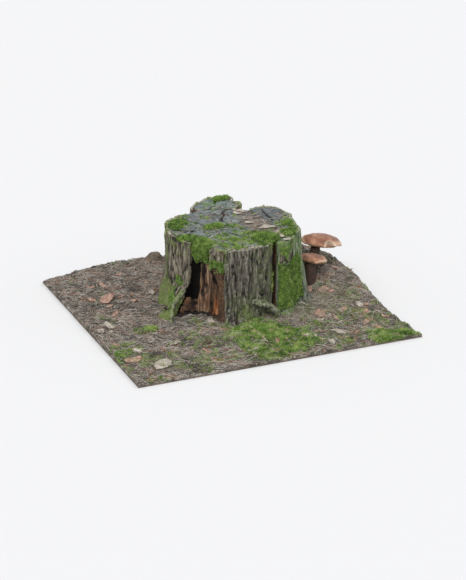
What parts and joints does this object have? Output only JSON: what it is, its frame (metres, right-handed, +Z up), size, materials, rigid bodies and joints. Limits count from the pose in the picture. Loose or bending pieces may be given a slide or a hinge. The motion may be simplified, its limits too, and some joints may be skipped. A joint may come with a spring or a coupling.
{
  "type": "mossy tree stump on a forest-floor patch",
  "caption": "Weathered, moss-grown tree stump with a rotten front hollow and brown bracket mushrooms, on a square patch of forest floor.",
  "frame": {"origin": "middle of the flat underside of the square patch of ground", "axes": "+Z up; +X to the right along the front edge; -Y is the front edge, the side with the rotten hollow"},
  "size_m": [1.1, 1.1, 0.3399],
  "materials": {
    "soil": "dark crumbly forest soil with root fibres and broken needles",
    "litter": "loose grey-brown mat of dry pine needles, small twigs and leaf crumbs",
    "seam_litter": "tan and reddish-brown needles and crumbs packed in the seam of the sawn top",
    "wood": "weathered grey end grain, cracked and rough, with darker rot spots",
    "right_wood": "dark blue-grey rippled end grain with deep cracks",
    "bark": "grey-brown fissured bark with a little green algae",
    "right_bark": "smooth grey-green bark with fine upright furrows",
    "root_bark": "pale grey-green knobbly root bark",
    "stave": "dark grey-brown furrowed sapwood standing in upright staves with pale sawn ends",
    "rot": "brown fibrous rotten heartwood in upright ribs, near black in the grooves",
    "crumble": "dark red-brown crumbled rot",
    "moss": "bright green short feather moss",
    "ground_moss": "green moss carpet with needles through it",
    "grey_leaf": "dry pale grey leaf, veined and cupped",
    "brown_leaf": "dry pinkish-brown leaf, veined and curled",
    "stick": "dry pale stick",
    "mushroom_cap": "dull reddish-brown velvety cap, paler at the rolled rim",
    "mushroom_gills": "pale tan crowded gills",
    "mushroom_stem": "thick dark brown velvety stem"
  },
  "bodies": {
    "root": {"soil_slab": "soil", "clod_back": "soil", "needle_mat_left": "litter", "needle_mat_right": "litter", "needle_mat_back": "litter", "moss_carpet_front": "ground_moss", "moss_carpet_corner": "ground_moss", "moss_tuft_left": "ground_moss", "moss_tuft_front_left": "ground_moss", "leaf_grey_front": "grey_leaf", "leaf_grey_right": "grey_leaf", "leaf_small_left": "grey_leaf", "leaf_pink_front": "brown_leaf", "leaf_pink_right": "brown_leaf", "leaf_brown_left": "brown_leaf", "leaf_tan_right": "brown_leaf", "stick_front": "stick", "twig_left": "stick", "twig_right": "stick", "main_stem_wood": "wood", "rear_stem_wood": "wood", "right_stem_wood": "right_wood", "bark_left_front": "bark", "bark_left": "bark", "bark_rear_left": "bark", "bark_rear_stem_left": "bark", "bark_rear_stem_right": "bark", "bark_right_rear": "right_bark", "bark_right_side": "right_bark", "bark_right_front": "right_bark", "root_side_right": "right_bark", "root_foot_left": "root_bark", "root_knob_front": "root_bark", "front_stave_left": "stave", "front_stave_middle": "stave", "front_stave_right": "stave", "bark_cleft": "bark", "rot_core": "rot", "rot_crumble": "crumble", "seam_litter": "seam_litter", "moss_root_left": "moss", "moss_beard_left": "moss", "moss_beard_middle": "moss", "moss_column_right": "moss", "moss_upper_right": "moss", "moss_rim_front": "moss", "moss_top_right": "moss", "moss_knob_right": "moss", "moss_edge_right": "moss", "moss_patch_left": "moss", "moss_patch_middle": "moss", "moss_rear_edge": "moss", "mushroom_upper_cap": "mushroom_cap", "mushroom_lower_cap": "mushroom_cap", "mushroom_upper_gills": "mushroom_gills", "mushroom_lower_gills": "mushroom_gills", "mushroom_upper_stem": "mushroom_stem", "mushroom_lower_stem": "mushroom_stem"}
  },
  "joints": []
}
